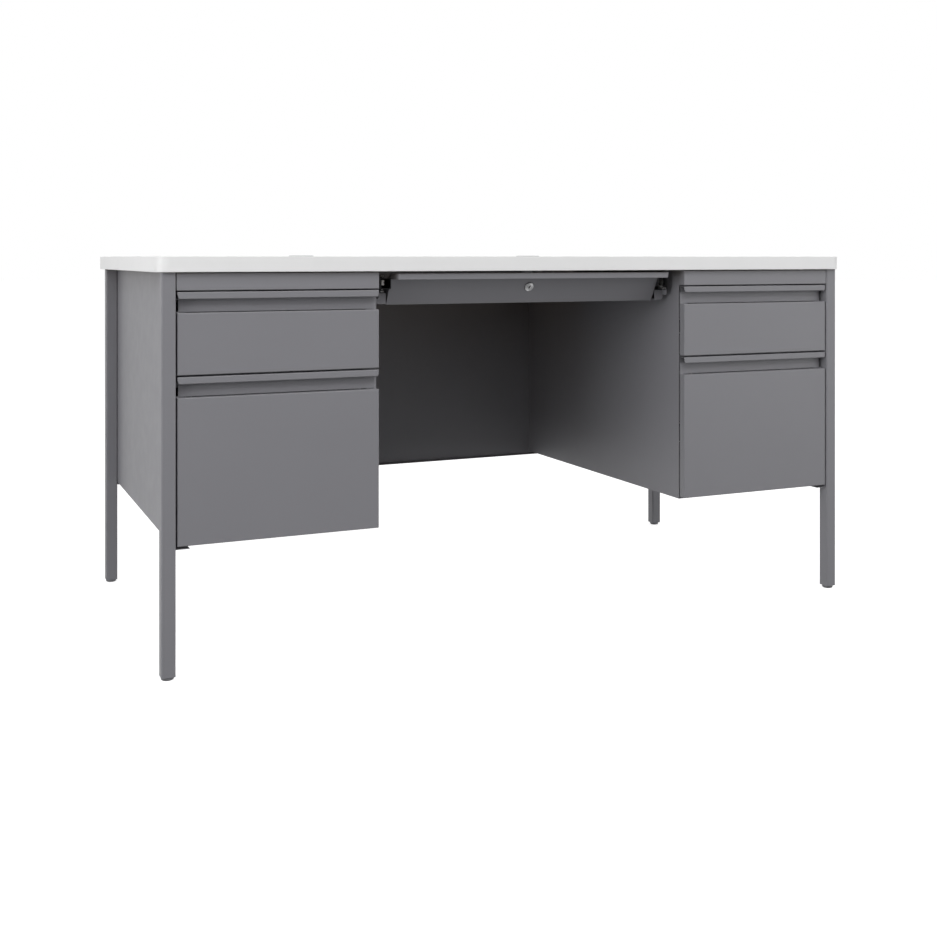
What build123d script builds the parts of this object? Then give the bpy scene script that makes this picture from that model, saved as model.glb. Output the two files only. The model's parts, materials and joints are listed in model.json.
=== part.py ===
"""Steel double-pedestal teacher desk with a laminate worktop, four pedestal drawers and a centre drawer.

Frame: +X to the sitter's right, +Y to the back, +Z up. The origin is on the floor under the
centre of the worktop. Millimetres. Every part of the right pedestal is mirrored for the left one.
"""

import os

from build123d import *

# ---------------------------------------------------------------- driving dimensions
desk_width = 1524.0
desk_depth = 762.0
desk_height = 749.3

# worktop
worktop_thickness = 28.6
worktop_corner_radius = 25.4
laminate_thickness = 0.8
edge_band_thickness = 3.0
edge_rounding = 1.2
grommet_x = 304.8
grommet_y = 286.0
grommet_hole_radius = 25.4
grommet_flange_radius = 30.0
grommet_wall = 2.0
grommet_proud = 2.6
grommet_depth = 24.0
grommet_fit = 0.1
grommet_flange_rounding = 1.5
grommet_ledge_drop = 0.6
grommet_ledge_thickness = 1.8
grommet_ledge_width = 2.8
cap_gap = 0.4
cap_rounding = 0.8
cap_notch_half_width = 6.5
cap_notch_start = 10.5

# legs and their levelling glides
leg_size = 25.4
leg_wall = 1.6
leg_corner_radius = 3.0
leg_side_inset = 11.6
leg_front_inset = 6.9
leg_rear_inset = 13.1
glide_height = 6.0
glide_radius = 11.5
glide_stem_radius = 4.0
glide_stem_length = 30.0
glide_fit = 0.05
glide_gap = 0.3
glide_chamfer = 2.0
glide_rounding = 1.0
insert_length = 14.0
insert_fit = 0.1
insert_corner_radius = 1.2

# folded sheet steel
sheet = 0.9
bend = 1.5
flange = 20.0
side_flange = 25.0

# pedestal carcass
pedestal_inner_x = 344.4
pedestal_bottom = 230.4
front_setback = 1.6
header_height = 32.8
header_top_gap = 1.4
header_depth = 20.6
header_end_gap = 1.5
rear_panel_y = 355.0
rear_panel_bottom = 225.0
rail_height = 24.0
rail_depth = 22.0
cross_rail_raise = 4.0
front_rail_setback = 40.0
rear_rail_setback = 14.0
bottom_rail_height = 14.0
top_flange_rear = 334.0

# drawer fronts
front_outer_x = 722.0
front_depth = 17.0
lip_height = 12.6
recess_height = 24.6
box_front_top = 685.5
box_front_bottom = 537.8
file_front_top = 534.6
file_front_bottom = 234.8
front_end_rounding = 1.5
lip_chamfer_width = 2.5
lip_chamfer_height = 8.0
recess_end_gap = 4.2
recess_seam = 1.3
recess_seam_end = 6.0

# drawer bodies
body_length = 590.0
body_rim = 6.0
liner_inset = 1.2
liner_inner_inset = 2.0
liner_outer_inset = 4.6
liner_seam_margin = 0.3
box_body_bottom = 546.0
box_body_top = 664.0
file_body_bottom = 248.0
file_body_top = 500.0
folder_bar_spacing = 318.0
folder_bar_height = 12.0
folder_bar_thickness = 2.0
folder_bar_drop = 2.0

# ball-bearing slides
slide_width = 12.7
slide_gauge = 1.2
slide_ball_gap = 2.4
slide_web_gap = 1.0
slide_outer_reach = 9.5
slide_middle_reach = 10.6
slide_inner_reach = 4.6
box_slide_height = 35.0
box_slide_z = 600.0
file_slide_height = 45.0
file_slide_z = 372.0
pedestal_slide_length = 560.0
pedestal_slide_front = -350.0
centre_slide_width = 22.9
centre_slide_height = 35.0
centre_slide_z = 696.0
centre_slide_length = 395.0
centre_slide_front = -331.0

# centre drawer
centre_half_width = 304.8
centre_lip_top = 716.5
centre_lip_bottom = 704.4
centre_lip_rear = -331.0
centre_face_bottom = 654.5
centre_face_bottom_y = -303.0
centre_body_front = -290.0
centre_body_rear = 80.0
centre_body_bottom = 656.0
centre_body_top = 700.0
centre_wall_top = 695.0
end_plate_inset = 0.4
centre_lip_chamfer_height = 11.0
bracket_gauge = 1.5
bracket_bottom = 656.0
bracket_front = -327.0
bracket_rear = 66.0
bracket_gap = 1.0
bracket_tab_y = -312.0
bracket_tab_reach = 20.6
bracket_tab_height = 21.0
bracket_notch_top = 667.0
bracket_corner_radius = 7.0

# pencil tray insert
pencil_tray_half_width = 290.0
pencil_tray_depth = 88.0
pencil_tray_height = 20.0
pencil_tray_wall = 2.0
pencil_tray_corner_radius = 4.0
pencil_tray_gap = 0.5
pencil_groove_depth = 34.0

# drawer lock
lock_z = 687.5
lock_flange_radius = 9.5
lock_flange_thickness = 2.2
lock_flange_rounding = 0.7
lock_barrel_radius = 8.0
lock_hole_fit = 0.1
lock_plug_radius = 5.55
lock_plug_recess = 0.3
lock_fit = 0.05
lock_barrel_length = 24.0
lock_nut_radius = 11.0
lock_nut_thickness = 4.0
key_slot_tilt = 22.0
key_slot_width = 1.3
key_slot_length = 7.0
key_slot_depth = 6.0
cam_length = 18.0
cam_width = 10.0
cam_thickness = 2.0
strike_y = -318.0
strike_bottom = 709.0
strike_half_width = 12.0
strike_flange_depth = 14.0
strike_flange_overhang = 12.0

# screws
screw_radius = 2.2
screw_head_radius = 4.0
screw_head_height = 2.5
screw_head_rounding = 1.0
screw_length = 18.0
screw_fit = 0.1

# ---------------------------------------------------------------- derived planes
worktop_bottom = desk_height - worktop_thickness
leg_outer_x = desk_width / 2 - leg_side_inset
leg_inner_x = leg_outer_x - leg_size
leg_front_y = -desk_depth / 2 + leg_front_inset
leg_rear_y = desk_depth / 2 - leg_rear_inset
rear_leg_low = leg_rear_y - leg_size
front_y = leg_front_y + front_setback
front_back_y = front_y + front_depth
carcass_front_y = front_y + header_depth
header_bottom = worktop_bottom - header_height
panel_inner_face = pedestal_inner_x + sheet
side_inner_face = leg_inner_x - sheet
body_inner_x = panel_inner_face + slide_width
body_outer_x = side_inner_face - slide_width
bracket_x = centre_half_width + centre_slide_width
face_run = centre_face_bottom_y - centre_lip_rear
face_rise = centre_lip_bottom - centre_face_bottom
face_length = (face_run**2 + face_rise**2) ** 0.5
lock_y = centre_lip_rear + face_run * (centre_lip_bottom - lock_z) / face_rise
lock_out = Vector(0, -face_rise / face_length, -face_run / face_length)
lock_plane = Plane(origin=(0, lock_y, lock_z), x_dir=(1, 0, 0), z_dir=lock_out)


# ---------------------------------------------------------------- helpers
def block(x, y, z):
    """A box between the low and high limits of each axis."""
    size = [high - low for low, high in (x, y, z)]
    middle = [(low + high) / 2 for low, high in (x, y, z)]
    return Pos(*middle) * Box(*size)


def rod(x, y, z_low, z_high, radius):
    """An upright cylinder."""
    return Pos(x, y, (z_low + z_high) / 2) * Cylinder(radius, z_high - z_low)


def left(part):
    """The left-hand twin of a right-hand part."""
    return mirror(part, about=Plane.YZ)


def pair(part):
    """A part and its mirror twin, as two solids of one group."""
    return Compound(children=[part, left(part)])


def outline(path, thickness=sheet, radius=bend):
    """Cross-section of a sheet folded along path, its thickness to the right of the path."""
    line = FilletPolyline(*path, radius=radius)
    return make_face(offset(line, amount=thickness, side=Side.RIGHT))


def along_x(section, x_low, x_high):
    """A (y, z) section extruded along X."""
    return extrude(Plane.YZ.offset(x_low) * section, amount=x_high - x_low)


def along_y(section, y_low, y_high):
    """An (x, z) section extruded along Y."""
    return extrude(Plane.XZ.offset(-y_high) * section, amount=y_high - y_low)


def rounded_plan(half_x, half_y, radius, z_low, z_high):
    """A slab centred on the origin with rounded upright corners."""
    plan = RectangleRounded(2 * half_x, 2 * half_y, radius)
    return Pos(0, 0, z_low) * extrude(plan, amount=z_high - z_low)


# ---------------------------------------------------------------- worktop
def screw_places():
    """Places on the right half where a screw goes up through a top flange into the worktop."""
    side = [(leg_inner_x - flange / 2, y) for y in (-300.0, -100.0, 100.0, 300.0)]
    panel = [(pedestal_inner_x + flange / 2, y) for y in (-300.0, 0.0, 300.0)]
    bracket = [((bracket_x + pedestal_inner_x) / 2, y) for y in (-310.0, 40.0)]
    rear = [(x, rear_panel_y - flange / 2 + 2.0) for x in (120.0, 534.0)]
    strike = [(15.0, strike_y - 7.0)]
    return side + panel + bracket + rear + strike


def flange_gauge(x):
    """Thickness of the sheet that the screw at this place goes through."""
    on_bracket = bracket_x < x < pedestal_inner_x
    on_strike = x < strike_half_width + flange
    return bracket_gauge if on_bracket or on_strike else sheet


def screw(x, y):
    """A pan-head wood screw, its head under the flange."""
    seat = worktop_bottom - flange_gauge(x)
    head = rod(x, y, seat - screw_head_height, seat, screw_head_radius)
    head = fillet(head.edges().group_by(Axis.Z)[0], screw_head_rounding)
    return head + rod(x, y, seat, seat + screw_length, screw_radius)


def screw_holes(radius, z_low, z_high):
    """Both halves' screw holes as one cutting tool."""
    holes = [rod(side * x, y, z_low, z_high, radius) for x, y in screw_places() for side in (1, -1)]
    return Compound(children=holes)


def flange_holes():
    return screw_holes(screw_radius + screw_fit, worktop_bottom - 2.0, worktop_bottom + 1.0)


def grommet_holes(radius):
    z_limits = (worktop_bottom - 5.0, desk_height + 5.0)
    return Compound(children=[rod(x, grommet_y, *z_limits, radius) for x in (-grommet_x, grommet_x)])


def worktop_core():
    """Particleboard core with pilot holes for the screws and two cable holes."""
    half_x = desk_width / 2 - edge_band_thickness
    half_y = desk_depth / 2 - edge_band_thickness
    radius = worktop_corner_radius - edge_band_thickness
    core = rounded_plan(half_x, half_y, radius, worktop_bottom, desk_height - laminate_thickness)
    pilots = screw_holes(screw_radius + screw_fit, worktop_bottom - 1.0, worktop_bottom + screw_length)
    return core - grommet_holes(grommet_hole_radius) - pilots


def worktop_laminate():
    """Laminate sheet bonded over the core."""
    half_x = desk_width / 2 - edge_band_thickness
    half_y = desk_depth / 2 - edge_band_thickness
    radius = worktop_corner_radius - edge_band_thickness
    skin = rounded_plan(half_x, half_y, radius, desk_height - laminate_thickness, desk_height)
    return skin - grommet_holes(grommet_hole_radius)


def worktop_edge_band():
    """Band around the worktop with softened outer edges."""
    half_x = desk_width / 2
    half_y = desk_depth / 2
    slab = rounded_plan(half_x, half_y, worktop_corner_radius, worktop_bottom, desk_height)
    rims = slab.edges().group_by(Axis.Z)[0] + slab.edges().group_by(Axis.Z)[-1]
    slab = fillet(rims, edge_rounding)
    half_x -= edge_band_thickness
    half_y -= edge_band_thickness
    radius = worktop_corner_radius - edge_band_thickness
    return slab - rounded_plan(half_x, half_y, radius, worktop_bottom - 1.0, desk_height + 1.0)


def grommet_sleeve():
    """Flanged sleeve lining a cable hole, with a ledge that carries the cap."""
    outer = grommet_hole_radius - grommet_fit
    inner = outer - grommet_wall
    top = desk_height + grommet_proud
    ring = rod(0, 0, desk_height, top, grommet_flange_radius)
    ring = fillet(ring.edges().group_by(Axis.Z)[-1], grommet_flange_rounding)
    sleeve = ring + rod(0, 0, desk_height - grommet_depth, desk_height, outer)
    ledge_z = desk_height - grommet_ledge_drop
    bore = rod(0, 0, ledge_z, top + 1.0, inner)
    throat = rod(0, 0, desk_height - grommet_depth - 1.0, ledge_z - grommet_ledge_thickness, inner)
    hole = rod(0, 0, ledge_z - 2 * grommet_ledge_thickness, ledge_z + 1.0, inner - grommet_ledge_width)
    return Pos(grommet_x, grommet_y, 0) * (sleeve - bore - throat - hole)


def grommet_cap():
    """Turning cap with a cable notch open to its rim."""
    radius = grommet_hole_radius - grommet_fit - grommet_wall - cap_gap
    low = desk_height - cap_gap
    cap = rod(0, 0, low, desk_height + grommet_proud - cap_gap, radius)
    cap = fillet(cap.edges().group_by(Axis.Z)[-1], cap_rounding)
    notch_x = (-cap_notch_half_width, cap_notch_half_width)
    notch = block(notch_x, (cap_notch_start, 2 * radius), (low - 1.0, desk_height + 5.0))
    return Pos(grommet_x, grommet_y, 0) * (cap - notch)


# ---------------------------------------------------------------- legs
def leg(y_low):
    """Square steel tube standing on a glide."""
    x = leg_outer_x - leg_size / 2
    y = y_low + leg_size / 2
    inside = leg_size - 2 * leg_wall
    section = RectangleRounded(leg_size, leg_size, leg_corner_radius)
    section -= RectangleRounded(inside, inside, leg_corner_radius - leg_wall)
    return Pos(x, y, glide_height) * extrude(section, amount=worktop_bottom - glide_height)


def leg_insert(y_low):
    """Plug in the leg's end with a tapped hole for the glide."""
    x = leg_outer_x - leg_size / 2
    y = y_low + leg_size / 2
    inside = leg_size - 2 * (leg_wall + insert_fit)
    plug = extrude(RectangleRounded(inside, inside, insert_corner_radius), amount=insert_length)
    plug -= Cylinder(glide_stem_radius + glide_fit, 4 * insert_length)
    return Pos(x, y, glide_height) * plug


def glide(y_low):
    """Round levelling glide: a domed foot on a threaded stem."""
    x = leg_outer_x - leg_size / 2
    y = y_low + leg_size / 2
    foot_top = glide_height - glide_gap
    foot = rod(0, 0, 0, foot_top, glide_radius)
    foot = chamfer(foot.edges().group_by(Axis.Z)[0], glide_chamfer)
    foot = fillet(foot.edges().group_by(Axis.Z)[-1], glide_rounding)
    stem = rod(0, 0, foot_top - 1.0, foot_top + glide_stem_length, glide_stem_radius)
    return Pos(x, y, 0) * (foot + stem)


# ---------------------------------------------------------------- carcass
def flange_notch():
    """Notch at a panel's top rear corner, where the rear panel's top flange passes."""
    x_limits = (pedestal_inner_x - 1.0, leg_inner_x + 1.0)
    y_limits = (top_flange_rear, rear_panel_y + 1.0)
    return block(x_limits, y_limits, (worktop_bottom - 2 * sheet, worktop_bottom + 1.0))


def side_panel():
    """Outer pedestal panel on the legs' inner faces, with top and bottom flanges turned inwards."""
    top = worktop_bottom
    y_limits = (carcass_front_y, rear_panel_y)
    wall = block((side_inner_face, leg_inner_x), y_limits, (pedestal_bottom - sheet, top))
    top_x = (leg_inner_x - flange, leg_inner_x)
    top_flange = block(top_x, (carcass_front_y, top_flange_rear), (top - sheet, top))
    bottom_flange = block(
        (leg_inner_x - side_flange, leg_inner_x),
        (front_y + 1.5, rear_panel_y),
        (pedestal_bottom - sheet, pedestal_bottom),
    )
    return wall + top_flange + bottom_flange - flange_holes() - flange_notch()


def inner_panel():
    """Kneehole-side pedestal panel with flanges turned into the pedestal."""
    top = worktop_bottom
    x = pedestal_inner_x
    y_limits = (carcass_front_y, rear_panel_y)
    wall = block((x, x + sheet), y_limits, (pedestal_bottom, top))
    top_flange = block((x, x + flange), (carcass_front_y, top_flange_rear), (top - sheet, top))
    bottom_flange = block((x, x + flange), y_limits, (pedestal_bottom, pedestal_bottom + sheet))
    return wall + top_flange + bottom_flange - flange_holes() - flange_notch()


def rear_panel():
    """Full-width back panel with top and bottom flanges and end flanges on the rear legs."""
    y = rear_panel_y
    x = leg_inner_x
    wall = block((-x, x), (y, y + sheet), (rear_panel_bottom, worktop_bottom))
    for z_low in (rear_panel_bottom, worktop_bottom - sheet):
        wall += block((-x, x), (y + sheet - flange, y + sheet), (z_low, z_low + sheet))
    for x_low in (-x, x - sheet):
        wall += block((x_low, x_low + sheet), (y, leg_rear_y - 1.0), (rear_panel_bottom, worktop_bottom))
    return wall - flange_holes()


def header():
    """Channel across the top of a pedestal's front, its kneehole end closed by a plate."""
    low = header_bottom
    top = worktop_bottom - header_top_gap
    x = pedestal_inner_x
    path = [(carcass_front_y, low), (front_y, low), (front_y, top), (carcass_front_y, top)]
    channel = along_x(outline(path), x, leg_inner_x - header_end_gap)
    return channel + block((x, x + sheet), (front_y + sheet / 2, carcass_front_y), (low + bend, top - bend))


def cross_rail():
    """Channel between the two panels, behind the gap between the drawers."""
    x_limits = (panel_inner_face, side_inner_face)
    low = file_front_top - rail_height + cross_rail_raise
    y = carcass_front_y + 2.0
    path = [(y + rail_depth, low), (y, low), (y, low + rail_height), (y + rail_depth, low + rail_height)]
    return along_x(outline(path), *x_limits)


def bottom_rails():
    """Front and rear angles that tie the panels together at the bottom."""
    low = pedestal_bottom + sheet
    high = low + bottom_rail_height
    x_limits = (panel_inner_face, side_inner_face)
    uprights = (carcass_front_y + front_rail_setback, rear_panel_y - rear_rail_setback)
    paths = [[(y, high), (y, low), (y - rail_depth, low)] for y in uprights]
    return Compound(children=[along_x(outline(path), *x_limits) for path in paths])


# ---------------------------------------------------------------- slides
def slide_member(path, y_low, length):
    return along_y(outline(path, slide_gauge, slide_gauge + 0.4), y_low, y_low + length)


def slide(wall_x, facing, width, z, height, y_low, length):
    """Outer, middle and inner members of one telescopic slide on a wall at wall_x."""
    outer_half = height / 2
    middle_half = outer_half - slide_gauge - slide_ball_gap
    inner_half = middle_half - slide_gauge - slide_ball_gap
    web = wall_x + facing * (slide_gauge + slide_web_gap)
    back = wall_x + facing * width
    shapes = [
        (wall_x, wall_x + facing * slide_outer_reach, outer_half, facing),
        (web, wall_x + facing * slide_middle_reach, middle_half, facing),
        (back, wall_x + facing * slide_inner_reach, inner_half, -facing),
    ]
    members = []
    for root, tip, half, opens in shapes:
        path = [(tip, z - half), (root, z - half), (root, z + half), (tip, z + half)]
        members.append(slide_member(path if opens > 0 else path[::-1], y_low, length))
    return members


def pedestal_slides(z, height):
    """Members of both slides of one pedestal drawer, grouped as outer, middle and inner."""
    place = (slide_width, z, height, pedestal_slide_front, pedestal_slide_length)
    on_panel = slide(panel_inner_face, 1, *place)
    on_side = slide(side_inner_face, -1, *place)
    return [Compound(children=list(group)) for group in zip(on_panel, on_side)]


def centre_slides():
    """Members of both centre-drawer slides on their brackets; the inner ones reach in to the drawer."""
    members = slide(
        bracket_x,
        -1,
        centre_slide_width,
        centre_slide_z,
        centre_slide_height,
        centre_slide_front,
        centre_slide_length,
    )
    return [pair(member) for member in members]


def centre_bracket():
    """Hanger for a centre-drawer slide: worktop flange, plate, rounded ledge and front tab."""
    outer = bracket_x + bracket_gauge
    inner = outer - bracket_tab_reach
    low = bracket_bottom
    hook = [(outer, worktop_bottom), (outer, low), (inner, low)]
    hanger = along_y(outline(hook, bracket_gauge, bracket_corner_radius), bracket_front, bracket_rear)
    flange_x = (bracket_x, pedestal_inner_x - bracket_gap)
    flange_z = (worktop_bottom - bracket_gauge, worktop_bottom)
    hanger += block(flange_x, (bracket_front, bracket_rear), flange_z)
    notch_y = (bracket_front - 1.0, bracket_tab_y)
    hanger -= block((inner - 1.0, outer + 1.0), notch_y, (low - 1.0, bracket_notch_top))
    plan_size = 2 * bracket_tab_height
    plan = Pos(outer - plan_size / 2, low + plan_size / 2)
    plan *= RectangleRounded(plan_size, plan_size, bracket_corner_radius)
    tab_y = (bracket_tab_y, bracket_tab_y + bracket_gauge)
    tab = block((inner, outer), tab_y, (low, low + bracket_tab_height))
    hanger += tab & along_y(plan, *tab_y)
    return hanger - flange_holes()


# ---------------------------------------------------------------- pedestal drawers
def lip_corner(x, way, lip_low, height, y_high):
    """Cutter for the slanted lower corner at one end of a pull lip."""
    corner = Polyline(
        (x - way, lip_low - 1.0),
        (x + way * lip_chamfer_width, lip_low - 1.0),
        (x + way * lip_chamfer_width, lip_low),
        (x, lip_low + height),
        (x - way, lip_low + height),
        close=True,
    )
    return along_y(make_face(corner), front_y - 1.0, y_high)


def drawer_front(z_low, z_high):
    """Folded sheet front with a full-width recessed pull under a hollow top lip."""
    lip_low = z_high - lip_height
    shelf = lip_low - recess_height
    back = front_back_y
    path = [
        (back, z_low),
        (front_y, z_low),
        (front_y, shelf),
        (back - sheet, shelf),
        (back - sheet, lip_low),
        (front_y, lip_low),
        (front_y, z_high),
        (back, z_high),
    ]
    x_low, x_high = pedestal_inner_x, front_outer_x
    face = along_x(outline(path), x_low, x_high)
    for x in (x_low, x_high - sheet):
        face += block((x, x + sheet), (front_y + sheet / 2, back), (z_low + bend, shelf - sheet / 2))
    width = x_high - x_low
    plan = RectangleRounded(width, 3 * front_depth, front_end_rounding)
    plan = Pos((x_low + x_high) / 2, front_y + 1.5 * front_depth, z_low - 1.0) * plan
    face &= extrude(plan, amount=z_high - z_low + 2.0)
    for x, way in ((x_low, 1), (x_high, -1)):
        face -= lip_corner(x, way, lip_low, lip_chamfer_height, back - 2 * sheet)
    end_gap = (x_high - recess_end_gap, x_high + 1.0)
    face -= block(end_gap, (back - 2 * sheet, back + 1.0), (shelf + bend, lip_low - bend))
    seam = (x_low + recess_seam_end, x_high - recess_seam_end)
    return face - block(seam, (back - sheet - bend, back + 1.0), (shelf, shelf + recess_seam))


def drawer_body(z_low, z_high, face_low, face_high):
    """Welded pan: front liner, floor, sides and back with an in-turned rim.

    The liner stays clear of the seam between the front's shelf and the back of its recess.
    """
    y_low = front_back_y
    y_high = y_low + body_length
    x_limits = (body_inner_x, body_outer_x)
    pan = block(x_limits, (y_low, y_high), (z_low, z_high))
    floor_z = z_low + sheet
    inner = [body_inner_x + sheet, body_outer_x - sheet]
    pan -= block(inner, (y_low + sheet, y_high - sheet), (floor_z, z_high - sheet))
    mouth = [body_inner_x + body_rim, body_outer_x - body_rim]
    pan -= block(mouth, (y_low + sheet, y_high - body_rim), (floor_z, z_high + 1.0))
    liner_x = (pedestal_inner_x + liner_inner_inset, front_outer_x - liner_outer_inset)
    pan += block(liner_x, (y_low, y_low + sheet), (face_low + liner_inset, face_high - liner_inset))
    shelf = face_high - lip_height - recess_height
    seam = (body_inner_x + recess_seam_end, body_outer_x - recess_seam_end)
    seam_z = (shelf - liner_seam_margin, shelf + recess_seam + liner_seam_margin)
    return pan - block(seam, (y_low - 1.0, y_low + 2 * sheet), seam_z)


def folder_bars():
    """Two bars in a file drawer for hanging folders, running front to back."""
    middle = (body_inner_x + body_outer_x) / 2
    top = file_body_top - folder_bar_drop
    y_limits = (front_back_y + sheet, front_back_y + body_length - sheet)
    half = folder_bar_thickness / 2
    bars = []
    for side in (-1, 1):
        x = middle + side * folder_bar_spacing / 2
        bars.append(block((x - half, x + half), y_limits, (top - folder_bar_height, top)))
    return Compound(children=bars)


# ---------------------------------------------------------------- centre drawer
def lock_rod(radius, inner, outer):
    """A cylinder on the lock's axis between two distances out of the drawer's slanted face."""
    return lock_plane * Pos(0, 0, (inner + outer) / 2) * Cylinder(radius, outer - inner)


def centre_front():
    """Boxed pull lip over a face that slants back to its lower edge, closed by end plates."""
    lip = [
        (centre_body_front, centre_face_bottom),
        (centre_face_bottom_y, centre_face_bottom),
        (centre_lip_rear, centre_lip_bottom),
        (front_y, centre_lip_bottom),
        (front_y, centre_lip_top),
        (centre_lip_rear, centre_lip_top),
        (centre_lip_rear, centre_lip_bottom + 2 * bend),
    ]
    face = along_x(outline(lip), -centre_half_width, centre_half_width)
    inset = end_plate_inset
    end_shape = [
        (front_y + inset, centre_lip_bottom + inset),
        (centre_lip_rear + inset, centre_lip_bottom + inset),
        (centre_face_bottom_y + inset, centre_face_bottom + inset),
        (centre_body_front, centre_face_bottom + inset),
        (centre_body_front, centre_wall_top),
        (centre_lip_rear, centre_lip_top - inset),
        (front_y + inset, centre_lip_top - inset),
    ]
    plate = make_face(Polyline(*end_shape, close=True))
    for x in (-centre_half_width, centre_half_width - sheet):
        face += along_x(plate, x, x + sheet)
    face -= lip_corner(
        centre_half_width, -1, centre_lip_bottom, centre_lip_chamfer_height, centre_lip_rear - sheet
    )
    return face - lock_rod(lock_barrel_radius + lock_hole_fit, -5.0, 5.0)


def centre_body():
    """Shallow pan of the centre drawer; its side and rear walls carry an in-turned rim."""
    half = centre_half_width
    inner = half - sheet
    mouth = half - body_rim
    y_low = centre_body_front
    y_high = centre_body_rear
    top = centre_body_top
    floor_z = centre_body_bottom + sheet
    pan = block((-half, half), (y_low, y_high), (centre_body_bottom, top))
    pan -= block((-inner, inner), (y_low + sheet, y_high - sheet), (floor_z, top - sheet))
    pan -= block((-mouth, mouth), (y_low + sheet, y_high - body_rim), (floor_z, top + 1.0))
    front_end = (y_low - 1.0, y_low + body_rim)
    return pan - block((-half - 1.0, half + 1.0), front_end, (centre_wall_top, top + 1.0))


def pencil_tray():
    """Moulded tray at the front of the centre drawer: one long groove and three bins."""
    half = pencil_tray_half_width
    wall = pencil_tray_wall
    y_low = centre_body_front + sheet + pencil_tray_gap
    y_high = y_low + pencil_tray_depth
    z_low = centre_body_bottom + sheet
    z_high = z_low + pencil_tray_height
    tray = block((-half, half), (y_low, y_high), (z_low, z_high))
    tray = fillet(tray.edges().filter_by(Axis.Z), pencil_tray_corner_radius)
    pocket_z = (z_low + wall, z_high + 1.0)
    split = y_low + wall + pencil_groove_depth
    tray -= block((wall - half, half - wall), (y_low + wall, split), pocket_z)
    bin_width = (2 * half - 4 * wall) / 3
    for column in range(3):
        x = wall - half + column * (bin_width + wall)
        tray -= block((x, x + bin_width), (split + wall, y_high - wall), pocket_z)
    return tray


# ---------------------------------------------------------------- lock
def lock_housing():
    """Flanged lock barrel with its clamping nut behind the sheet."""
    body = lock_rod(lock_flange_radius, 0.0, lock_flange_thickness)
    rim = body.edges().sort_by_distance(lock_plane.origin + lock_out * 30.0)[0]
    body = fillet(rim, lock_flange_rounding)
    body += lock_rod(lock_barrel_radius, -lock_barrel_length, 0.5)
    nut = extrude(RegularPolygon(lock_nut_radius, 6), amount=lock_nut_thickness)
    body += lock_plane * Pos(0, 0, -sheet - lock_nut_thickness) * nut
    bore = lock_rod(lock_plug_radius + lock_fit, -lock_barrel_length - 1.0, lock_flange_thickness + 1.0)
    return body - bore


def lock_plug():
    """Keyed plug that turns in the barrel, with a tilted key slot."""
    recess = lock_plug_recess
    plug = lock_rod(lock_plug_radius, -lock_barrel_length - recess, lock_flange_thickness - recess)
    slot = Rotation(0, 0, -key_slot_tilt) * Box(key_slot_width, key_slot_length, 2 * key_slot_depth)
    return plug - lock_plane * Pos(0, 0, lock_flange_thickness) * slot


def lock_cam():
    """Cam on the plug's inner end; it lies sideways when unlocked."""
    reach = cam_length - cam_width / 2
    bar = Pos(reach / 2, 0) * Rectangle(reach, cam_width)
    shape = bar + Circle(cam_width / 2) + Pos(reach, 0) * Circle(cam_width / 2)
    inner_end = -lock_barrel_length - lock_plug_recess - cam_thickness
    return lock_plane * Pos(0, 0, inner_end) * extrude(shape, amount=cam_thickness)


def lock_strike():
    """Angle under the worktop that the raised cam catches behind."""
    y_high = strike_y + bracket_gauge
    half = strike_half_width
    wide = half + strike_flange_overhang
    plate = block((-half, half), (strike_y, y_high), (strike_bottom, worktop_bottom))
    flange_y = (strike_y - strike_flange_depth, y_high)
    plate += block((-wide, wide), flange_y, (worktop_bottom - bracket_gauge, worktop_bottom))
    return plate - flange_holes()


# ---------------------------------------------------------------- the desk
def desk_nodes():
    nodes = {
        "worktop_core": worktop_core(),
        "worktop_laminate": worktop_laminate(),
        "worktop_edge_band": worktop_edge_band(),
        "grommet_sleeves": pair(grommet_sleeve()),
        "leg_inserts": Compound(children=[*both_legs(leg_insert), *map(left, both_legs(leg_insert))]),
        "rear_panel": rear_panel(),
        "centre_slide_brackets": pair(centre_bracket()),
        "lock_strike": lock_strike(),
        "worktop_screws": worktop_screws(),
        "centre_drawer_front": centre_front(),
        "centre_drawer_body": centre_body(),
        "pencil_tray": pencil_tray(),
        "lock_housing": lock_housing(),
        "lock_plug": lock_plug(),
        "lock_cam": lock_cam(),
    }
    members = ("outer", "middle", "inner")
    nodes |= {f"centre_slide_{m}": shape for m, shape in zip(members, centre_slides())}
    right = {
        "leg_front": leg(leg_front_y),
        "leg_rear": leg(rear_leg_low),
        "glide_front": glide(leg_front_y),
        "glide_rear": glide(rear_leg_low),
        "side_panel": side_panel(),
        "inner_panel": inner_panel(),
        "header": header(),
        "cross_rail": cross_rail(),
        "bottom_rails": bottom_rails(),
        "grommet_cap": grommet_cap(),
        "box_drawer_front": drawer_front(box_front_bottom, box_front_top),
        "box_drawer_body": drawer_body(box_body_bottom, box_body_top, box_front_bottom, box_front_top),
        "file_drawer_front": drawer_front(file_front_bottom, file_front_top),
        "file_drawer_body": drawer_body(file_body_bottom, file_body_top, file_front_bottom, file_front_top),
        "folder_bars": folder_bars(),
    }
    box_slides = pedestal_slides(box_slide_z, box_slide_height)
    file_slides = pedestal_slides(file_slide_z, file_slide_height)
    for drawer, slides in (("box", box_slides), ("file", file_slides)):
        right |= {f"{drawer}_slide_{m}": shape for m, shape in zip(members, slides)}
    for name, shape in right.items():
        nodes[f"{name}_right"] = shape
        nodes[f"{name}_left"] = left(shape)
    return nodes


def both_legs(make):
    """The front and rear copies of a leg's piece on the right side."""
    return [make(leg_front_y), make(rear_leg_low)]


def worktop_screws():
    places = [(side * x, y) for x, y in screw_places() for side in (1, -1)]
    return Compound(children=[screw(x, y) for x, y in places])


os.makedirs("parts", exist_ok=True)
for node, shape in desk_nodes().items():
    export_step(shape, f"parts/{node}.step")
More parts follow.
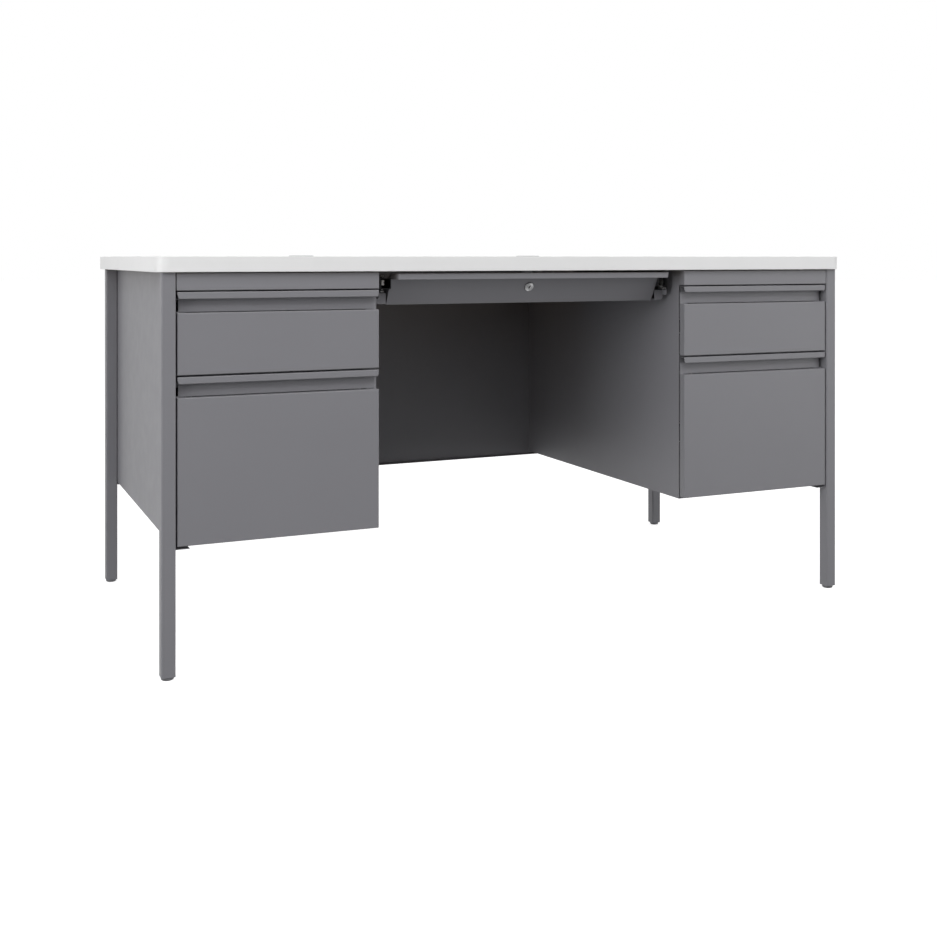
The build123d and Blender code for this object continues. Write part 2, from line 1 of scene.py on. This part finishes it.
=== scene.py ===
"""Looks of a steel double-pedestal teacher desk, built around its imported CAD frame. Metres."""

import json
import math

import bmesh
import bpy
from mathutils import Matrix, Vector


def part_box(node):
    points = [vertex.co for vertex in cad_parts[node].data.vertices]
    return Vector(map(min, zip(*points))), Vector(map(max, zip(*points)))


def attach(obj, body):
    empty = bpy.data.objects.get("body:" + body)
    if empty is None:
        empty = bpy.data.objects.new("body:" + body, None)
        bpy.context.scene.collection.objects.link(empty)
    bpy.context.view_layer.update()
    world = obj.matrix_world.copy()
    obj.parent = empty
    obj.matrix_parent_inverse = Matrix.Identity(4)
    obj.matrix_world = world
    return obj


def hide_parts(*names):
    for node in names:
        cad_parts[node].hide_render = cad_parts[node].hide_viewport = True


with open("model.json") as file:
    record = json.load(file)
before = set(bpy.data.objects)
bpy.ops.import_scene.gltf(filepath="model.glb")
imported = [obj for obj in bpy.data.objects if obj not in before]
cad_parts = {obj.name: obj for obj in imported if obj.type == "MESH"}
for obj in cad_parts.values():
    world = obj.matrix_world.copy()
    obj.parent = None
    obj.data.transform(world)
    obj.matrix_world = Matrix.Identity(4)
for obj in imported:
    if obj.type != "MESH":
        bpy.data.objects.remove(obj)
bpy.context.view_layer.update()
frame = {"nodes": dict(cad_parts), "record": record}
scene = bpy.context.scene
WORLD_LOBES = (((0.0, 1.0, 0.0), 0.93), ((1.0, 0.0, 0.0), 0.62))
SOFTBOXES = (
    ("left_softbox", -70.0, 5.0, 70.0),
    ("left_high_softbox", -60.0, 40.0, 24.0),
    ("side_softbox", -100.0, 45.0, 17.0),
    ("camera_softbox", -30.0, 20.0, 27.0),
    ("front_softbox", 0.0, 50.0, 89.0),
    ("right_softbox", 50.0, 5.0, 32.0),
    ("low_softbox", 0.0, -88.0, 33.0),
)
SOFTBOX_SIZE = 2.5
SOFTBOX_DISTANCE = 4.5
SOFTBOX_TARGET = Vector((0.0, 0.0, 0.45))
FLOOR_RADIUS = 40.0
BACKDROP_RADIUS = 60.0
SIDES = ("left", "right")
DRAWERS = ("box", "file")


# ---------------------------------------------------------------- camera, light and stage
def make_camera():
    """A level camera at seated eye height, in front of the desk and to its left."""
    data = bpy.data.cameras.new("camera")
    data.lens = 46.5
    data.sensor_width = 36.0
    data.shift_y = -0.2240
    data.clip_end = 200.0
    camera = bpy.data.objects.new("camera", data)
    camera.location = (-1.1259, -2.5346, 0.7448)
    camera.rotation_euler = (math.radians(90.0), 0.0, math.radians(-24.1))
    scene.collection.objects.link(camera)
    scene.camera = camera


def area_light(name, azimuth, elevation, power):
    """A square softbox aimed at the desk. Azimuth 0 is in front of the desk, positive to its right."""
    data = bpy.data.lights.new(name, "AREA")
    data.shape = "SQUARE"
    data.size = SOFTBOX_SIZE
    data.energy = power
    light = bpy.data.objects.new(name, data)
    turn, lift = math.radians(azimuth), math.radians(elevation)
    way = Vector((math.sin(turn) * math.cos(lift), -math.cos(turn) * math.cos(lift), math.sin(lift)))
    light.location = SOFTBOX_TARGET + way * SOFTBOX_DISTANCE
    light.rotation_euler = way.to_track_quat("Z", "Y").to_euler()
    scene.collection.objects.link(light)


def make_world():
    """Soft surroundings, brightest behind the desk and to its right."""
    world = bpy.data.worlds.new("world")
    scene.world = world
    world.use_nodes = True
    nodes, links = world.node_tree.nodes, world.node_tree.links
    place = nodes.new("ShaderNodeTexCoord")
    total = None
    for direction, strength in WORLD_LOBES:
        facing = nodes.new("ShaderNodeVectorMath")
        facing.operation = "DOT_PRODUCT"
        facing.inputs[1].default_value = direction
        links.new(place.outputs["Generated"], facing.inputs[0])
        lobe = nodes.new("ShaderNodeMath")
        lobe.operation = "MULTIPLY"
        lobe.inputs[1].default_value = strength
        lobe.use_clamp = True
        links.new(facing.outputs["Value"], lobe.inputs[0])
        if total:
            both = nodes.new("ShaderNodeMath")
            links.new(total, both.inputs[0])
            links.new(lobe.outputs[0], both.inputs[1])
            total = both.outputs[0]
        else:
            total = lobe.outputs[0]
    links.new(total, nodes["Background"].inputs["Color"])


def backdrop_material():
    """Plain white that gives off its own light."""
    material = bpy.data.materials.new("backdrop_white")
    material.use_nodes = True
    nodes, links = material.node_tree.nodes, material.node_tree.links
    nodes.clear()
    glow = nodes.new("ShaderNodeEmission")
    glow.inputs["Color"].default_value = (1.0, 1.0, 1.0, 1.0)
    glow.inputs["Strength"].default_value = 1.0
    out = nodes.new("ShaderNodeOutputMaterial")
    links.new(glow.outputs[0], out.inputs["Surface"])
    return material


def floor_material():
    """Pale studio floor: mostly even, with a soft shadow under the desk."""
    material = bpy.data.materials.new("pale_floor")
    material.use_nodes = True
    shader = material.node_tree.nodes["Principled BSDF"]
    shader.inputs["Base Color"].default_value = (0.8, 0.8, 0.8, 1.0)
    shader.inputs["Roughness"].default_value = 0.9
    shader.inputs["Emission Color"].default_value = (1.0, 1.0, 1.0, 1.0)
    shader.inputs["Emission Strength"].default_value = 0.75
    return material


def make_stage():
    """A pale floor disc inside a white backdrop that only the camera sees.

    Light from below passes the floor, so that it fills the kneehole.
    """
    bm = bmesh.new()
    bmesh.ops.create_circle(bm, cap_ends=True, segments=96, radius=FLOOR_RADIUS)
    floor = new_object("studio_floor", bm, floor_material())
    floor.visible_diffuse = False
    floor.visible_glossy = False
    floor.visible_shadow = False
    bm = bmesh.new()
    bmesh.ops.create_uvsphere(bm, u_segments=64, v_segments=32, radius=BACKDROP_RADIUS)
    backdrop = new_object("studio_backdrop", bm, backdrop_material())
    for ray in ("diffuse", "glossy", "transmission", "volume_scatter", "shadow"):
        setattr(backdrop, f"visible_{ray}", False)


def new_object(name, bm, material):
    mesh = bpy.data.meshes.new(name)
    bm.to_mesh(mesh)
    bm.free()
    mesh.materials.append(material)
    piece = bpy.data.objects.new(name, mesh)
    scene.collection.objects.link(piece)
    return piece


# ---------------------------------------------------------------- materials
class Surface:
    """A node material with a Principled shader and helpers for its textures."""

    def __init__(self, name, colour, roughness, metallic=0.0):
        self.material = bpy.data.materials.new(name)
        self.material.use_nodes = True
        self.nodes = self.material.node_tree.nodes
        self.links = self.material.node_tree.links
        self.shader = self.nodes["Principled BSDF"]
        self.shader.inputs["Base Color"].default_value = (*colour, 1.0)
        self.shader.inputs["Roughness"].default_value = roughness
        self.shader.inputs["Metallic"].default_value = metallic
        self.place = self.nodes.new("ShaderNodeTexCoord").outputs["Object"]

    def scaled(self, scale):
        """The object's own coordinates stretched by scale along each axis."""
        mapping = self.nodes.new("ShaderNodeMapping")
        mapping.inputs["Scale"].default_value = scale
        self.links.new(self.place, mapping.inputs["Vector"])
        return mapping.outputs["Vector"]

    def noise(self, scale, detail, stretch=None):
        """Fine noise, as a value around 0.5."""
        node = self.nodes.new("ShaderNodeTexNoise")
        node.inputs["Scale"].default_value = scale
        node.inputs["Detail"].default_value = detail
        self.links.new(self.scaled(stretch) if stretch else self.place, node.inputs["Vector"])
        return node.outputs["Fac"]

    def cells(self, scale, stretch=None):
        node = self.nodes.new("ShaderNodeTexVoronoi")
        node.inputs["Scale"].default_value = scale
        self.links.new(self.scaled(stretch) if stretch else self.place, node.inputs["Vector"])
        return node

    def ramp(self, value, stops):
        """A colour ramp over value; stops are (position, colour)."""
        node = self.nodes.new("ShaderNodeValToRGB")
        elements = node.color_ramp.elements
        while len(elements) < len(stops):
            elements.new(0.5)
        for element, (position, colour) in zip(elements, stops):
            element.position = position
            element.color = (*colour, 1.0)
        self.links.new(value, node.inputs["Fac"])
        return node.outputs["Color"]

    def spread(self, value, low, high):
        """value from 0.3..0.7 mapped to low..high."""
        node = self.nodes.new("ShaderNodeMapRange")
        node.inputs["From Min"].default_value = 0.3
        node.inputs["From Max"].default_value = 0.7
        node.inputs["To Min"].default_value = low
        node.inputs["To Max"].default_value = high
        self.links.new(value, node.inputs["Value"])
        return node.outputs["Result"]

    def tint(self, value, colour, amount):
        """Base colour that varies by +-amount with value."""
        light = tuple(c * (1.0 + amount) for c in colour)
        dark = tuple(c * (1.0 - amount) for c in colour)
        self.links.new(self.ramp(value, [(0.3, dark), (0.7, light)]), self.shader.inputs["Base Color"])

    def bump(self, *layers):
        """Layers are (height, depth in metres); each adds to the one below."""
        normal = None
        for height, depth in layers:
            node = self.nodes.new("ShaderNodeBump")
            node.inputs["Distance"].default_value = depth
            node.inputs["Strength"].default_value = 1.0
            self.links.new(height, node.inputs["Height"])
            if normal:
                self.links.new(normal, node.inputs["Normal"])
            normal = node.outputs["Normal"]
        self.links.new(normal, self.shader.inputs["Normal"])

    def rough(self, value, low, high):
        self.links.new(self.spread(value, low, high), self.shader.inputs["Roughness"])


GREY = (0.245, 0.243, 0.262)


def powder_coat(name, colour):
    """Baked powder coat: fine orange peel, slightly uneven gloss and tone."""
    surface = Surface(name, colour, 0.45)
    surface.tint(surface.noise(6.0, 4.0), colour, 0.012)
    surface.rough(surface.noise(35.0, 3.0), 0.43, 0.49)
    surface.bump((surface.noise(600.0, 2.0), 0.000008), (surface.noise(150.0, 2.0), 0.000008))
    return surface.material


def laminate():
    """High-pressure laminate: near white, fine pitted texture."""
    colour = (0.83, 0.83, 0.83)
    surface = Surface("white_laminate", colour, 0.35)
    surface.tint(surface.noise(25.0, 5.0), colour, 0.01)
    surface.rough(surface.noise(200.0, 2.0), 0.30, 0.42)
    surface.bump((surface.noise(1200.0, 3.0), 0.00002),)
    return surface.material


def edge_band():
    """Extruded band: smooth along its length, a little glossier than the laminate."""
    colour = (0.90, 0.90, 0.90)
    surface = Surface("white_edge_band", colour, 0.3)
    surface.tint(surface.noise(14.0, 4.0), colour, 0.012)
    surface.rough(surface.noise(60.0, 2.0), 0.30, 0.40)
    surface.bump((surface.noise(45.0, 1.0), 0.00004),)
    return surface.material


def particleboard():
    """Pressed wood chips."""
    surface = Surface("particleboard", (0.45, 0.33, 0.2), 0.8)
    chips = surface.cells(260.0, stretch=(1.0, 0.55, 1.0))
    tones = [(0.0, (0.30, 0.20, 0.11)), (0.5, (0.47, 0.34, 0.20)), (1.0, (0.62, 0.48, 0.31))]
    surface.links.new(surface.ramp(chips.outputs["Color"], tones), surface.shader.inputs["Base Color"])
    surface.bump((chips.outputs["Distance"], 0.0004),)
    return surface.material


def moulded_plastic(name, colour, roughness):
    """Injection-moulded plastic with a fine spark-eroded grain."""
    surface = Surface(name, colour, roughness)
    surface.tint(surface.noise(40.0, 3.0), colour, 0.05)
    surface.rough(surface.noise(120.0, 2.0), roughness - 0.06, roughness + 0.08)
    surface.bump((surface.noise(1500.0, 2.0), 0.00003),)
    return surface.material


def coated_rail():
    """Black electro-coated rolled steel with faint drawing lines along the rail."""
    colour = (0.016, 0.016, 0.018)
    surface = Surface("slide_steel", colour, 0.38)
    surface.tint(surface.noise(30.0, 3.0), colour, 0.25)
    lines = surface.noise(120.0, 2.0, stretch=(8.0, 0.1, 8.0))
    surface.rough(lines, 0.28, 0.46)
    surface.bump((lines, 0.00004),)
    return surface.material


def zinc_plate():
    """Bright zinc plating with a fine drawn grain."""
    colour = (0.55, 0.55, 0.57)
    surface = Surface("zinc_steel", colour, 0.35, metallic=1.0)
    surface.tint(surface.noise(50.0, 4.0), colour, 0.08)
    grain = surface.noise(300.0, 2.0, stretch=(6.0, 0.2, 6.0))
    surface.rough(grain, 0.28, 0.45)
    surface.bump((grain, 0.00002),)
    return surface.material


def chrome():
    """Satin plated lock face with light handling marks."""
    colour = (0.80, 0.80, 0.81)
    surface = Surface("chrome_lock", colour, 0.48, metallic=1.0)
    surface.tint(surface.noise(120.0, 3.0), colour, 0.04)
    surface.rough(surface.noise(900.0, 3.0), 0.42, 0.54)
    surface.bump((surface.noise(700.0, 2.0), 0.000006),)
    return surface.material


def keyway_shade_lining():
    """Dull near-black lining inside the keyway: painted shade for the inside of the slot."""
    # painted shade: near-black stands for the shade deep in the key slot
    colour = (0.018, 0.015, 0.011)
    surface = Surface("keyway_painted_shade", colour, 0.6)
    surface.tint(surface.noise(400.0, 3.0), colour, 0.3)
    surface.rough(surface.noise(900.0, 2.0), 0.5, 0.7)
    surface.bump((surface.noise(1500.0, 2.0), 0.00002),)
    return surface.material


MATERIALS = {
    "painted_steel": powder_coat("painted_steel", GREY),
    "slide_steel": coated_rail(),
    "particleboard": particleboard(),
    "white_laminate": laminate(),
    "white_edge_band": edge_band(),
    "grey_plastic": moulded_plastic("grey_plastic", (0.3, 0.3, 0.31), 0.45),
    "black_plastic": moulded_plastic("black_plastic", (0.02, 0.02, 0.02), 0.5),
    "zinc_steel": zinc_plate(),
    "chrome_lock": chrome(),
    "glide_plastic": moulded_plastic("glide_plastic", (0.2, 0.2, 0.21), 0.45),
    "nylon": moulded_plastic("pale_nylon", (0.62, 0.62, 0.61), 0.4),
    # painted shade lining for the keyway
    "keyway_painted_shade": keyway_shade_lining(),
}


def dress_cad_nodes():
    """Gives each CAD node the material of its slot."""
    slots = {part["node"]: part["material_slot"] for part in frame["record"]["subparts"]}
    for name, node in frame["nodes"].items():
        node.data.materials.clear()
        node.data.materials.append(MATERIALS[slots[name]])


# ---------------------------------------------------------------- mesh helpers
def solids_of(name):
    """Lowest and highest corners of each separate solid in a CAD node, from low X to high X."""
    mesh = frame["nodes"][name].data
    keys = [tuple(round(c, 6) for c in vertex.co) for vertex in mesh.vertices]
    parent = {key: key for key in keys}

    def root(key):
        while parent[key] != key:
            parent[key] = parent[parent[key]]
            key = parent[key]
        return key

    for edge in mesh.edges:
        first, second = (root(keys[i]) for i in edge.vertices)
        parent[first] = second
    groups = {}
    for key in sorted(parent):
        groups.setdefault(root(key), []).append(key)
    boxes = []
    for points in groups.values():
        low, high = ([pick(c) for c in zip(*points)] for pick in (min, max))
        boxes.append((Vector(low), Vector(high)))
    return sorted(boxes, key=lambda box: tuple(box[0]))


def add_prism(bm, section, y_low, y_high):
    """A closed (x, z) section extruded along Y. Returns its faces."""
    near = [bm.verts.new((x, y_low, z)) for x, z in section]
    far = [bm.verts.new((x, y_high, z)) for x, z in section]
    faces = [bm.faces.new(near[::-1]), bm.faces.new(far)]
    for i in range(len(section)):
        j = (i + 1) % len(section)
        faces.append(bm.faces.new((near[i], near[j], far[j], far[i])))
    return faces


def add_rings(bm, rings, place, segments=48, closed=False):
    """A skin over (shape, height) rings about the Z axis of place.

    A shape is a radius, or a function from the angle to the radius. The first and last rings are capped,
    or joined to each other if closed.
    """
    turns = [2.0 * math.pi * i / segments for i in range(segments)]
    loops = []
    for shape, height in rings:
        radii = [shape(t) if callable(shape) else shape for t in turns]
        corners = [Vector((r * math.cos(t), r * math.sin(t), height)) for r, t in zip(radii, turns)]
        loops.append([bm.verts.new(place @ corner) for corner in corners])
    pairs = list(zip(loops, loops[1:]))
    if closed:
        pairs.append((loops[-1], loops[0]))
    else:
        bm.faces.new(loops[0][::-1])
        bm.faces.new(loops[-1])
    for low, high in pairs:
        for i in range(segments):
            j = (i + 1) % segments
            bm.faces.new((low[i], low[j], high[j], high[i]))


def new_piece(name, bm, slot, body, smooth=None, material=None):
    """A piece riding on a body; smooth is the angle in degrees under which its edges look rounded.

    Its material is the slot's, or a variant of it.
    """
    bmesh.ops.recalc_face_normals(bm, faces=bm.faces)
    piece = new_object(name, bm, MATERIALS[material or slot])
    if smooth:
        piece.data.shade_smooth()
        piece.data.set_sharp_from_angle(angle=math.radians(smooth))
    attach(piece, body)
    return piece


# ---------------------------------------------------------------- slides
SLIDE_GAUGE = 0.0012
CAGE_GAUGE = 0.0005
CAGE_MARGIN = 0.0015
CAGE_TIP_GAP = 0.001
BALL_PITCH = 0.014
BALL_PLAY = 0.00005
STOP_LENGTH = 0.008
STOP_REACH = 0.0055
STOP_GROOVE_DEPTH = 0.0018
STOP_HEIGHTS = (-0.003, 0.0012, 0.0028, 0.007)
CAGE_END_LENGTH = 0.0025
CAGE_END_HEIGHT = 0.0019


def channel(root, tip, middle, half):
    """A C section in (x, z) with its web at root and flanges reaching to tip."""
    inner = root + math.copysign(CAGE_GAUGE, tip - root)
    low, high = middle - half, middle + half
    return [
        (root, low),
        (tip, low),
        (tip, low + CAGE_GAUGE),
        (inner, low + CAGE_GAUGE),
        (inner, high - CAGE_GAUGE),
        (tip, high - CAGE_GAUGE),
        (tip, high),
        (root, high),
    ]


def add_cage(bm, balls_bm, outside, inside, facing, middle, y_limits):
    """A ball cage with thicker front ends, in the gap between two nested members, and its balls.

    outside is (web face, flange tip, half height of its inside); inside is the same of the member in it,
    with the half height of its outside. Heights are measured from middle.
    """
    gap = outside[2] - inside[2]
    half = inside[2] + (gap + CAGE_GAUGE) / 2.0
    root = (outside[0] + inside[0] - facing * CAGE_GAUGE) / 2.0
    tip = outside[1] - facing * CAGE_TIP_GAP
    add_prism(bm, channel(root, tip, middle, half), *y_limits)
    for side in (-1.0, 1.0):
        z = middle + side * (inside[2] + gap / 2.0)
        z_low, z_high = z - CAGE_END_HEIGHT / 2.0, z + CAGE_END_HEIGHT / 2.0
        end = [(root, z_low), (tip, z_low), (tip, z_high), (root, z_high)]
        add_prism(bm, end, y_limits[0], y_limits[0] + CAGE_END_LENGTH)
    ball_x = (inside[0] + outside[1]) / 2.0
    count = int((y_limits[1] - y_limits[0] - BALL_PITCH / 2.0) / BALL_PITCH)
    for i in range(count):
        y = y_limits[0] + BALL_PITCH * (i + 0.5)
        for side in (-1.0, 1.0):
            place = Matrix.Translation((ball_x, y, middle + side * (inside[2] + gap / 2.0)))
            bmesh.ops.create_icosphere(balls_bm, subdivisions=2, radius=gap / 2.0 - BALL_PLAY, matrix=place)


def add_stop(bm, root, facing, middle, front):
    """A moulded stop at the front of a middle member, with a groove across it."""
    tip = root + facing * STOP_REACH
    groove = tip - facing * STOP_GROOVE_DEPTH
    low, groove_low, groove_high, high = (middle + height for height in STOP_HEIGHTS)
    section = [(root, low), (tip, low), (tip, groove_low), (groove, groove_low)]
    section += [(groove, groove_high), (tip, groove_high), (tip, high), (root, high)]
    faces = add_prism(bm, section, front, front + STOP_LENGTH)
    edges = {edge for face in faces for edge in face.edges}
    bmesh.ops.bevel(bm, geom=list(edges), offset=0.0003, segments=2, affect="EDGES", clamp_overlap=True)


def make_slide_parts(prefix, suffix, body):
    """Ball cages and stops of a drawer's two slides.

    The outer cages stay on the desk. The inner cages and the stops ride on the middle members. A cage is
    as long as the members overlap when the drawer is open. The centre drawer has a stop on its left only.
    """
    members = [solids_of(f"{prefix}_slide_{member}{suffix}") for member in ("outer", "middle", "inner")]
    outer_bm, inner_bm, stop_bm = bmesh.new(), bmesh.new(), bmesh.new()
    outer_balls, inner_balls = bmesh.new(), bmesh.new()
    for outer, middle, inner in zip(*members):
        facing = 1.0 if inner[0].x + inner[1].x > outer[0].x + outer[1].x else -1.0
        near, far = (0, 1) if facing > 0.0 else (1, 0)
        centre = (outer[0].z + outer[1].z) / 2.0
        halves = [(box[1].z - box[0].z) / 2.0 for box in (outer, middle, inner)]
        front, rear = outer[0].y, outer[1].y
        y_limits = (front + CAGE_MARGIN, rear - TRAVEL[body] - 4.0 * CAGE_MARGIN)
        gauge = facing * SLIDE_GAUGE
        outside = (outer[near].x + gauge, outer[far].x, halves[0] - SLIDE_GAUGE)
        inside = (middle[near].x, middle[far].x, halves[1])
        add_cage(outer_bm, outer_balls, outside, inside, facing, centre, y_limits)
        outside = (middle[near].x + gauge, middle[far].x, halves[1] - SLIDE_GAUGE)
        inside = (inner[near].x, inner[far].x, halves[2])
        y_limits = (front + STOP_LENGTH + CAGE_MARGIN, y_limits[1])
        add_cage(inner_bm, inner_balls, outside, inside, facing, centre, y_limits)
        if facing > 0.0 or suffix:
            add_stop(stop_bm, outside[0], facing, centre, front)
    new_piece(f"{prefix}_outer_cages{suffix}", outer_bm, "grey_plastic", "desk_frame", 40.0, "nylon")
    new_piece(f"{prefix}_outer_balls{suffix}", outer_balls, "zinc_steel", "desk_frame", 60.0)
    new_piece(f"{prefix}_inner_cages{suffix}", inner_bm, "grey_plastic", body, 40.0, "nylon")
    new_piece(f"{prefix}_inner_balls{suffix}", inner_balls, "zinc_steel", body, 60.0)
    new_piece(f"{prefix}_slide_stops{suffix}", stop_bm, "grey_plastic", body, 40.0, "nylon")


# ---------------------------------------------------------------- glides
FOOT_TOP = 0.0057
STEM_RADIUS = 0.004
THREAD_DEPTH = 0.0006
THREAD_PITCH = 0.00125
THREAD_ROWS = 8
STEM_SEGMENTS = 32


def make_glide(name):
    """A moulded foot with a dished rim, and a threaded stem."""
    low, high = (Vector(corner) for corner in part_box(name))
    x, y = (low.x + high.x) / 2.0, (low.y + high.y) / 2.0
    radius = (high.x - low.x) / 2.0
    profile = [
        (radius - 0.0045, 0.0003),
        (radius - 0.0038, 0.0),
        (radius - 0.0022, 0.0),
        (radius - 0.0007, 0.0009),
        (radius, 0.0022),
        (radius, FOOT_TOP - 0.0014),
        (radius - 0.0003, FOOT_TOP - 0.0007),
        (radius - 0.0010, FOOT_TOP - 0.0002),
        (radius - 0.0019, FOOT_TOP),
        (STEM_RADIUS + 0.0016, FOOT_TOP),
        (STEM_RADIUS + 0.0010, FOOT_TOP - 0.0004),
    ]
    bm = bmesh.new()
    add_rings(bm, profile, Matrix.Translation((x, y, low.z)))
    foot = new_piece(f"{name}_foot", bm, "glide_plastic", name, 35.0)
    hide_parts(name)
    bm = bmesh.new()
    rows = []
    start = low.z + FOOT_TOP - 0.001
    count = int((high.z - start) / THREAD_PITCH * THREAD_ROWS)
    for i in range(count + 1):
        z = start + i * THREAD_PITCH / THREAD_ROWS
        fade = min(1.0, (count - i) / THREAD_ROWS)
        row = []
        for j in range(STEM_SEGMENTS):
            phase = (i / THREAD_ROWS - j / STEM_SEGMENTS) % 1.0
            reach = STEM_RADIUS - THREAD_DEPTH * (1.0 - fade * (1.0 - abs(2.0 * phase - 1.0)))
            turn = 2.0 * math.pi * j / STEM_SEGMENTS
            row.append(bm.verts.new((x + reach * math.cos(turn), y + reach * math.sin(turn), z)))
        rows.append(row)
    for below, above in zip(rows, rows[1:]):
        for j in range(STEM_SEGMENTS):
            k = (j + 1) % STEM_SEGMENTS
            bm.faces.new((below[j], below[k], above[k], above[j]))
    bm.faces.new(rows[0][::-1])
    bm.faces.new(rows[-1])
    stem = new_piece(f"{name}_stem", bm, "zinc_steel", name, 50.0)
    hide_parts(name)


# ---------------------------------------------------------------- lock
PLUG_RADIUS = 0.00555
PLUG_FACE = 0.0019
FLANGE_FACE = 0.0022
KEY_TILT = -22.0


def lock_place():
    """The lock's frame: its Z axis points out of the drawer's face, its Y axis up along the key slot."""
    joint = next(j for j in frame["record"]["behaviour"]["joints"] if j["name"] == "lock_turn")
    out = Vector(joint["axis"]).normalized()
    side = Vector((1.0, 0.0, 0.0))
    turn = Matrix((side, out.cross(side), out)).transposed().to_4x4()
    tilt = Matrix.Rotation(math.radians(KEY_TILT), 4, "Z")
    return Matrix.Translation(joint["pos_m"]) @ turn @ tilt


def stadium(half_width, half_length):
    """A slot with round ends, as a function from the angle to the radius."""
    reach = half_length - half_width

    def radius(angle):
        across, along = abs(math.cos(angle)), abs(math.sin(angle))
        if across * reach >= along * half_width:
            return half_width / across
        inside = half_width**2 - (reach * across) ** 2
        return reach * along + math.sqrt(max(0.0, inside))

    return radius


def make_lock():
    """Domed chrome ring with a black ring of painted shade around its rim, a turned plug face around the
    key slot, and the keyway in it, lined with painted shade.
    """
    place = lock_place()
    ring = [
        (0.00575, 0.0010),
        (0.00575, 0.00245),
        (0.00605, 0.00275),
        (0.0069, 0.0030),
        (0.0078, 0.00295),
        (0.0086, 0.00265),
        (0.0092, 0.0021),
        (0.00955, 0.0013),
        (0.00955, 0.0006),
    ]
    bm = bmesh.new()
    add_rings(bm, ring, place, 64, closed=True)
    new_piece("lock_trim_ring", bm, "chrome_lock", "centre_drawer", 60.0)
    # painted shade: a black ring under and just beyond the chrome rim stands for the dark edge of shade
    # around the lock
    shade_ring = [(0.0085, 0.00005), (0.0100, 0.00005), (0.0104, 0.00025), (0.0104, 0.0005), (0.0100, 0.0007)]
    shade_ring.append((0.0085, 0.0007))
    bm = bmesh.new()
    add_rings(bm, shade_ring, place, 64, closed=True)
    new_piece("lock_painted_shade_ring", bm, "black_plastic", "centre_drawer", 40.0)
    face = [
        (PLUG_RADIUS - 0.0002, PLUG_FACE - 0.0001),
        (PLUG_RADIUS - 0.0002, PLUG_FACE + 0.0002),
        (PLUG_RADIUS - 0.0005, FLANGE_FACE + 0.0001),
        (stadium(0.0016, 0.0043), FLANGE_FACE + 0.0001),
        (stadium(0.0014, 0.0041), PLUG_FACE + 0.0002),
        (stadium(0.0014, 0.0041), PLUG_FACE - 0.0001),
    ]
    bm = bmesh.new()
    add_rings(bm, face, place, 96, closed=True)
    new_piece("lock_plug_face", bm, "chrome_lock", "lock_cylinder", 40.0)
    # the keyway's lining is painted shade
    keyway = [
        (stadium(0.00144, 0.00414), PLUG_FACE + 0.0002),
        (stadium(0.00062, 0.00344), PLUG_FACE + 0.00002),
        (stadium(0.00060, 0.00340), PLUG_FACE - 0.0038),
    ]
    bm = bmesh.new()
    add_rings(bm, keyway[::-1], place, 96)
    bm.faces.ensure_lookup_table()
    bm.faces.remove(bm.faces[1])
    new_piece("lock_keyway", bm, "chrome_lock", "lock_cylinder", 40.0, "keyway_painted_shade")


# ---------------------------------------------------------------- worktop screws
SCREW_HEAD_HEIGHT = 0.0025
SCREW_SHANK_RADIUS = 0.0022


def cross_recess(half_width, half_length):
    """Outline of a cross-head recess, as a function from the angle to the radius."""

    def radius(angle):
        small, large = sorted((abs(math.cos(angle)), abs(math.sin(angle))))
        arm = half_length / large
        return min(arm, half_width / small) if small > 0.0 else arm

    return radius


def make_screws():
    """Pan-head wood screws with a cross recess, heads down."""
    bm = bmesh.new()
    for low, high in solids_of("worktop_screws"):
        middle = ((low.x + high.x) / 2.0, (low.y + high.y) / 2.0, low.z)
        head = (high.x - low.x) / 2.0
        seat = SCREW_HEAD_HEIGHT
        rings = [
            (cross_recess(0.0003, 0.0010), 0.0016),
            (cross_recess(0.0006, 0.0022), 0.0002),
            (cross_recess(0.0007, 0.0024), 0.0),
            (head * 0.72, 0.0),
            (head * 0.90, seat * 0.16),
            (head * 0.98, seat * 0.42),
            (head, seat * 0.75),
            (head, seat),
            (SCREW_SHANK_RADIUS, seat),
            (SCREW_SHANK_RADIUS, high.z - low.z - 0.003),
            (0.0002, high.z - low.z),
        ]
        add_rings(bm, rings, Matrix.Translation(middle), 48)
    screws = new_piece("worktop_screw_heads", bm, "zinc_steel", "desk_frame", 35.0)
    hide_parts("worktop_screws")


# ---------------------------------------------------------------- scene
JOINTS = frame["record"]["behaviour"]["joints"]
TRAVEL = {joint["child"]: joint["range_m"][1] for joint in JOINTS if joint["type"] == "slide"}

scene.view_settings.view_transform = "Standard"
make_camera()
make_world()
make_stage()
for name, azimuth, elevation, power in SOFTBOXES:
    area_light(name, azimuth, elevation, power)
dress_cad_nodes()
make_slide_parts("centre", "", "centre_slide")
for side in SIDES:
    for drawer in DRAWERS:
        make_slide_parts(drawer, f"_{side}", f"{drawer}_slide_{side}")
    for end in ("front", "rear"):
        make_glide(f"glide_{end}_{side}")
make_lock()
make_screws()
